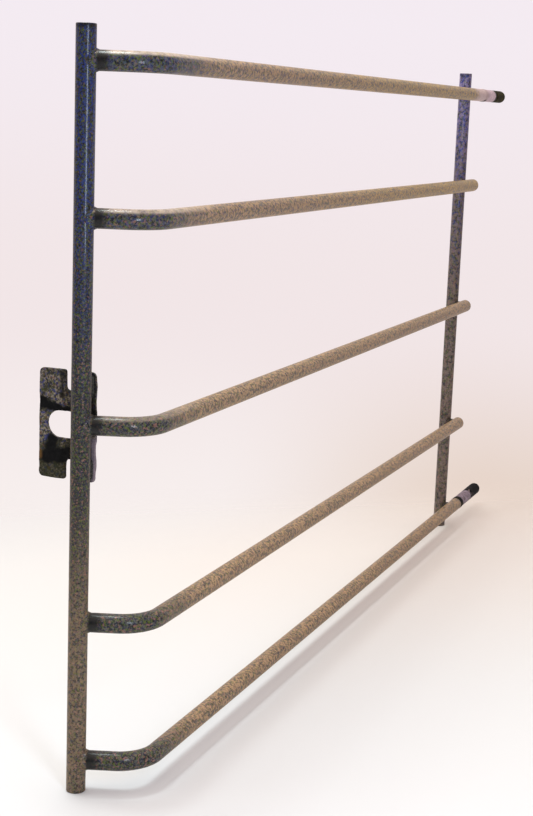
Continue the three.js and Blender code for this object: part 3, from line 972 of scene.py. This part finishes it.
def prism(name, outline, start, end):
    """A block of this outline in Y and Z, from one X to another."""
    rings = [[(start, y, z) for y, z in outline], [(end, y, z) for y, z in outline]]
    solid = new_object(name, *capped_rings(rings))
    face_outwards(solid.data)
    return solid


def apply_modifiers(solid):
    graph = bpy.context.evaluated_depsgraph_get()
    made = bpy.data.meshes.new_from_object(solid.evaluated_get(graph))
    solid.modifiers.clear()
    solid.data = made


def cut(solid, cutter):
    modifier = solid.modifiers.new("cut", "BOOLEAN")
    modifier.operation = "DIFFERENCE"
    modifier.solver = "EXACT"
    modifier.object = cutter
    apply_modifiers(solid)
    bpy.data.objects.remove(cutter)


def leg_cutter(z):
    """A rod a little thicker than a rail's leg, to clear the leg's way through the plate."""
    foot = Vector((NEAR.x, NEAR.y, z))
    rings = []
    for along in (0.0, 0.09):
        rings.append(circle(foot + LEG_DIRECTION * along, LEG_SIDE, UP, TUBE_RADIUS + WELD_FIT))
    return new_object("leg_cutter", *capped_rings(rings))


def smooth_step(value, low, high):
    share = min(max((value - low) / (high - low), 0.0), 1.0)
    return share * share * (3 - 2 * share)


def inside_strokes(y, z, strokes, edge):
    """1 inside any of the strokes and 0 outside them, smooth over the edge's width."""
    best = 0.0
    place = Vector((y, z))
    for start, end, half_width in strokes:
        start, end = Vector(start), Vector(end)
        along = end - start
        share = min(max((place - start).dot(along) / along.length_squared, 0.0), 1.0)
        gap = (place - start - along * share).length - half_width
        best = max(best, 1 - smooth_step(gap, -edge / 2, edge / 2))
    return best


def forge_surface(plate, low, high):
    """Hollows, an uneven skin and a wavy edge on the low-Y side, with painted shade and rust as
    attributes.
    """
    middle = (low.z + high.z) / 2
    plate.data.update()
    painted_shade = plate.data.attributes.new("painted_shade", "FLOAT", "POINT")
    rust = plate.data.attributes.new("rust", "FLOAT", "POINT")
    normals = [Vector(vertex.normal) for vertex in plate.data.vertices]
    for vertex, normal in zip(plate.data.vertices, normals):
        place = vertex.co.copy()
        rise = place.z - middle
        ragged = noise.noise(place * 150) * 0.0035
        front = smooth_step(-normal.x, 0.1, 0.7)
        hollow = inside_strokes(place.y + ragged, rise - ragged, HOLLOWS, HOLLOW_EDGE)
        shaded = inside_strokes(place.y, rise, SHADED_STROKES, HOLLOW_EDGE)
        vertex.co.x += HOLLOW_DEPTH * hollow * front
        edge = smooth_step(low.y + 0.008 - place.y, 0.0, 0.008)
        vertex.co.y += 0.0007 * edge * (1 + math.sin(rise * 2 * math.pi / 0.043 + 1.2))
        skin = noise.noise(place * 45) * 0.0007 + noise.noise(place * 110) * 0.0004
        skin += noise.noise(place * 260) * 0.00018
        vertex.co += normal * (skin - 0.0003)
        rust.data[vertex.index].value = inside_strokes(place.y, rise, RUST_STROKES, HOLLOW_EDGE) * front
        # Painted shade: full in the hollows, a little less along the shaded strokes, on the front.
        painted_shade.data[vertex.index].value = max(hollow, shaded * 0.8) * smooth_step(-normal.x, -0.2, 0.4)


def add_keeper_plate():
    """A forged plate: its edges are rounded, its skin uneven, and it has hollows round the slot."""
    low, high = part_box("keeper_plate")
    middle = (low.z + high.z) / 2
    room = Vector((SKIN_ROOM, SKIN_ROOM, SKIN_ROOM))
    inner_low, inner_high = low + room, high - room
    outline = plate_outline(inner_low, inner_high)
    plate = prism("keeper_plate_forging", outline, inner_low.x, inner_high.x)
    cut(plate, prism("slot_cutter", slot_outline(middle), low.x - 0.01, high.x + 0.01))
    cut(plate, leg_cutter(RAIL_Z["middle"]))
    remesh = plate.modifiers.new("remesh", "REMESH")
    remesh.mode = "VOXEL"
    remesh.voxel_size = PLATE_VOXEL
    smooth = plate.modifiers.new("smooth", "SMOOTH")
    smooth.iterations = 8
    smooth.factor = 0.5
    apply_modifiers(plate)
    forge_surface(plate, low, high)
    finish_piece(plate, FORGED, ["keeper_plate"])


# ---------------------------------------------------------------- assembly

add_upright("near", NEAR, NEAR_PAINT)
add_upright("far", FAR, FAR_PAINT)
for number, rail in enumerate(RAIL_NAMES):
    add_rail(rail)
    add_leg_weld(rail, number)
    add_lap_weld(rail, number)
    if rail in SPIGOT_RAILS:
        add_spigot(rail)
    else:
        add_domed_plug(rail)
add_keeper_plate()
add_plate_welds()


# ---------------------------------------------------------------- floor, light and camera

FLOOR_SIZE = 14.0
FLOOR_NEAR = (0.690, 0.710, 0.722)
FLOOR_FAR_LEFT = (0.680, 0.705, 0.715)
FLOOR_FAR_RIGHT = (0.725, 0.700, 0.675)
FLOOR_SIDES = (0.0, 1.2)
FLOOR_WAY = (0.80, 0.60)
FLOOR_TONES = (0.2, 1.4)
FLOOR_EDGE = (1.30, 2.15)
FLOOR_RIM = (4.2, 6.6)
BACKDROP_LOW_LEFT = (0.930, 0.863, 0.850)
# Painted shadow: the backdrop's low right is darker and warmer.
BACKDROP_LOW_RIGHT = (0.780, 0.640, 0.545)
BACKDROP_MIDDLE = (0.885, 0.790, 0.800)
BACKDROP_HIGH = (0.905, 0.832, 0.885)
CEILING = (1.53, 1.28, 1.14)
ROOM_DIM = (0.11, 0.115, 0.155)
ROOM_BRIGHT = (0.86, 0.77, 0.78)
ROOM_WAY = (0.90, 0.36, 0.25)

CAMERA_PLACE = (-2.1863, -1.2070, 1.1689)
CAMERA_YAW = 1.18985
CAMERA_PITCH = -0.19065
CAMERA_ROLL = 0.03745
CAMERA_LENS = 67.15


def add_floor():
    """A pale floor that fades into the backdrop past the far end of the gate, and at its rim."""
    half = FLOOR_SIZE / 2
    corners = [(-half, -half, 0), (half, -half, 0), (half, half, 0), (-half, half, 0)]
    floor = new_object("floor", corners, [(0, 1, 2, 3)])
    m = Nodes("floor_paper")
    m.set("Roughness", 0.9)
    m.set("Specular IOR Level", 0.1)
    along = m.math("MULTIPLY", m.axis(0), FLOOR_WAY[0])
    across = m.math("MULTIPLY", m.axis(1), FLOOR_WAY[1])
    way = m.math("ADD", along, across)
    far_tone = m.mix(m.between(m.axis(1), *FLOOR_SIDES), FLOOR_FAR_RIGHT, FLOOR_FAR_LEFT)
    tone = m.mix(m.between(way, *FLOOR_TONES), FLOOR_NEAR, far_tone)
    tone = m.mix(m.math("MULTIPLY", m.noise(1.2, 2.0, 0.5), 0.05), tone, FLOOR_FAR_RIGHT)
    distance = m.tree.nodes.new("ShaderNodeVectorMath")
    distance.operation = "LENGTH"
    m.link(m.place, distance.inputs[0])
    rim = m.between(distance.outputs["Value"], *FLOOR_RIM)
    fade = m.math("MAXIMUM", m.between(way, *FLOOR_EDGE), rim)
    clear = m.tree.nodes.new("ShaderNodeBsdfTransparent")
    blend = m.tree.nodes.new("ShaderNodeMixShader")
    m.link(fade, blend.inputs[0])
    m.link(m.shader.outputs[0], blend.inputs[1])
    m.link(clear.outputs[0], blend.inputs[2])
    m.link(blend.outputs[0], m.tree.nodes["Material Output"].inputs["Surface"])
    floor.data.materials.append(m.done(tone))


def world_blend(tree, source, direction, low, high, first, second):
    """A world colour that turns from first to second as a ray points more along a direction."""
    dot = tree.nodes.new("ShaderNodeVectorMath")
    dot.operation = "DOT_PRODUCT"
    dot.inputs[1].default_value = direction
    tree.links.new(source, dot.inputs[0])
    spread = tree.nodes.new("ShaderNodeMapRange")
    spread.interpolation_type = "SMOOTHSTEP"
    spread.inputs["From Min"].default_value = low
    spread.inputs["From Max"].default_value = high
    tree.links.new(dot.outputs["Value"], spread.inputs["Value"])
    colour = tree.nodes.new("ShaderNodeMix")
    colour.data_type = "RGBA"
    if isinstance(first, tuple):
        colour.inputs[6].default_value = (*first, 1)
    else:
        tree.links.new(first, colour.inputs[6])
    colour.inputs[7].default_value = (*second, 1)
    tree.links.new(spread.outputs["Result"], colour.inputs[0])
    return colour.outputs[2]


def add_world():
    """A room that is bright past the far end and dim at the near end.

    The camera sees a pale backdrop in its place, warmer and darker low down on the right, as a painted
    shadow at the foot of the wall.
    """
    world = bpy.data.worlds.new("room")
    bpy.context.scene.world = world
    world.use_nodes = True
    tree = world.node_tree
    coordinates = tree.nodes.new("ShaderNodeTexCoord").outputs["Generated"]
    room = world_blend(tree, coordinates, ROOM_WAY, -0.55, 0.55, ROOM_DIM, ROOM_BRIGHT)
    room = world_blend(tree, coordinates, (0, 0, 1), 0.35, 1.0, room, CEILING)
    right = (math.cos(CAMERA_YAW), -math.sin(CAMERA_YAW), 0)
    low = world_blend(tree, coordinates, right, -0.04, 0.15, BACKDROP_LOW_LEFT, BACKDROP_LOW_RIGHT)
    backdrop = world_blend(tree, coordinates, (0, 0, 1), -0.27, -0.12, low, BACKDROP_MIDDLE)
    backdrop = world_blend(tree, coordinates, (0, 0, 1), -0.12, 0.07, backdrop, BACKDROP_HIGH)
    seen = tree.nodes.new("ShaderNodeMix")
    seen.data_type = "RGBA"
    tree.links.new(tree.nodes.new("ShaderNodeLightPath").outputs["Is Camera Ray"], seen.inputs[0])
    tree.links.new(room, seen.inputs[6])
    tree.links.new(backdrop, seen.inputs[7])
    tree.links.new(seen.outputs[2], tree.nodes["Background"].inputs["Color"])


def add_softbox(name, place, aim, size, power, colour):
    lamp = bpy.data.lights.new(name, "AREA")
    lamp.shape = "RECTANGLE"
    lamp.size, lamp.size_y = size
    lamp.energy = power
    lamp.color = colour
    holder = bpy.data.objects.new(name, lamp)
    holder.location = place
    direction = Vector(aim) - Vector(place)
    holder.rotation_euler = direction.to_track_quat("-Z", "Y").to_euler()
    holder.visible_camera = False
    bpy.context.scene.collection.objects.link(holder)


def add_camera():
    """Yaw is from +Y towards +X, pitch is above the horizon, and roll lifts the camera's right side."""
    forward = Vector((
        math.sin(CAMERA_YAW) * math.cos(CAMERA_PITCH),
        math.cos(CAMERA_YAW) * math.cos(CAMERA_PITCH),
        math.sin(CAMERA_PITCH),
    ))
    level = Vector((math.cos(CAMERA_YAW), -math.sin(CAMERA_YAW), 0))
    above = level.cross(forward)
    right = level * math.cos(CAMERA_ROLL) + above * math.sin(CAMERA_ROLL)
    up = above * math.cos(CAMERA_ROLL) - level * math.sin(CAMERA_ROLL)
    data = bpy.data.cameras.new("camera")
    data.lens = CAMERA_LENS
    data.sensor_width = 36.0
    camera = bpy.data.objects.new("camera", data)
    camera.matrix_world = Matrix((
        (right.x, up.x, -forward.x, CAMERA_PLACE[0]),
        (right.y, up.y, -forward.y, CAMERA_PLACE[1]),
        (right.z, up.z, -forward.z, CAMERA_PLACE[2]),
        (0, 0, 0, 1),
    ))
    bpy.context.scene.collection.objects.link(camera)
    bpy.context.scene.camera = camera


add_floor()
add_world()
add_softbox(
    "overhead", place=(0.2, 0.45, 3.3), aim=(0.9, -0.1, 0.3),
    size=(0.9, 0.9), power=53, colour=(0.91, 1.03, 1.03),
)
add_softbox(
    "window", place=(-1.05, -1.21, 1.10), aim=(0.0, 0.0, 1.10),
    size=(0.30, 0.60), power=13, colour=(0.72, 0.84, 1.0),
)
add_camera()
bpy.context.scene.view_settings.view_transform = "Standard"
